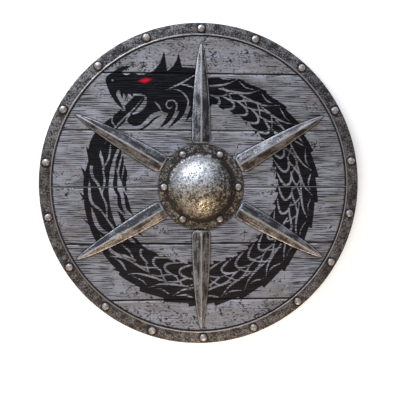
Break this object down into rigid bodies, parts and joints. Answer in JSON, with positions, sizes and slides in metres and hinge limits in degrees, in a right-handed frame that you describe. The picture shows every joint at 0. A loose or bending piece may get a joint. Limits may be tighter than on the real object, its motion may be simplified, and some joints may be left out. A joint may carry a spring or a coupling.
{
  "type": "round wooden shield",
  "caption": "Round plank shield with a riveted iron rim, a raised iron boss, ridged iron blades fanned out from the boss and a wooden grip across the back.",
  "frame": {"origin": "on the floor under the centre of the rim, with the shield lying on its grip and its boss up", "axes": "+Z out of the front through the boss, +Y across the planks and along the grip towards the top plank, +X along the planks, to the right of someone who faces the front"},
  "size_m": [0.61, 0.61, 0.085],
  "materials": {
    "limed_plank": "grey limed planks with deep grain, black painted picture, worn",
    "rim_iron": "dark forged iron with bright worn specks",
    "boss_iron": "hammered iron, rubbed bright on the dome, dark in the hollows",
    "blade_iron": "cast iron with pitted facets and bright worn ridges",
    "rivet_iron": "hammered dome heads, rubbed bright on top",
    "grip_wood": "oiled raw wood, darker where the hand holds it",
    "nail_iron": "black forged nail heads"
  },
  "bodies": {
    "root": {"plank_1": "limed_plank", "plank_2": "limed_plank", "plank_3": "limed_plank", "plank_4": "limed_plank", "plank_5": "limed_plank", "plank_6": "limed_plank", "rim": "rim_iron", "rim_rivet_01": "rivet_iron", "rim_rivet_02": "rivet_iron", "rim_rivet_03": "rivet_iron", "rim_rivet_04": "rivet_iron", "rim_rivet_05": "rivet_iron", "rim_rivet_06": "rivet_iron", "rim_rivet_07": "rivet_iron", "rim_rivet_08": "rivet_iron", "rim_rivet_09": "rivet_iron", "rim_rivet_10": "rivet_iron", "rim_rivet_11": "rivet_iron", "rim_rivet_12": "rivet_iron", "rim_rivet_13": "rivet_iron", "rim_rivet_14": "rivet_iron", "rim_rivet_15": "rivet_iron", "rim_rivet_16": "rivet_iron", "rim_rivet_17": "rivet_iron", "rim_rivet_18": "rivet_iron", "boss": "boss_iron", "boss_rivet_01": "rivet_iron", "boss_rivet_02": "rivet_iron", "boss_rivet_03": "rivet_iron", "boss_rivet_04": "rivet_iron", "boss_rivet_05": "rivet_iron", "boss_rivet_06": "rivet_iron", "blade_1": "blade_iron", "blade_2": "blade_iron", "blade_3": "blade_iron", "blade_4": "blade_iron", "blade_5": "blade_iron", "blade_6": "blade_iron", "grip": "grip_wood", "grip_nail_1": "nail_iron", "grip_nail_2": "nail_iron", "grip_nail_3": "nail_iron", "grip_nail_4": "nail_iron", "grip_nail_5": "nail_iron", "grip_nail_6": "nail_iron"}
  },
  "joints": []
}
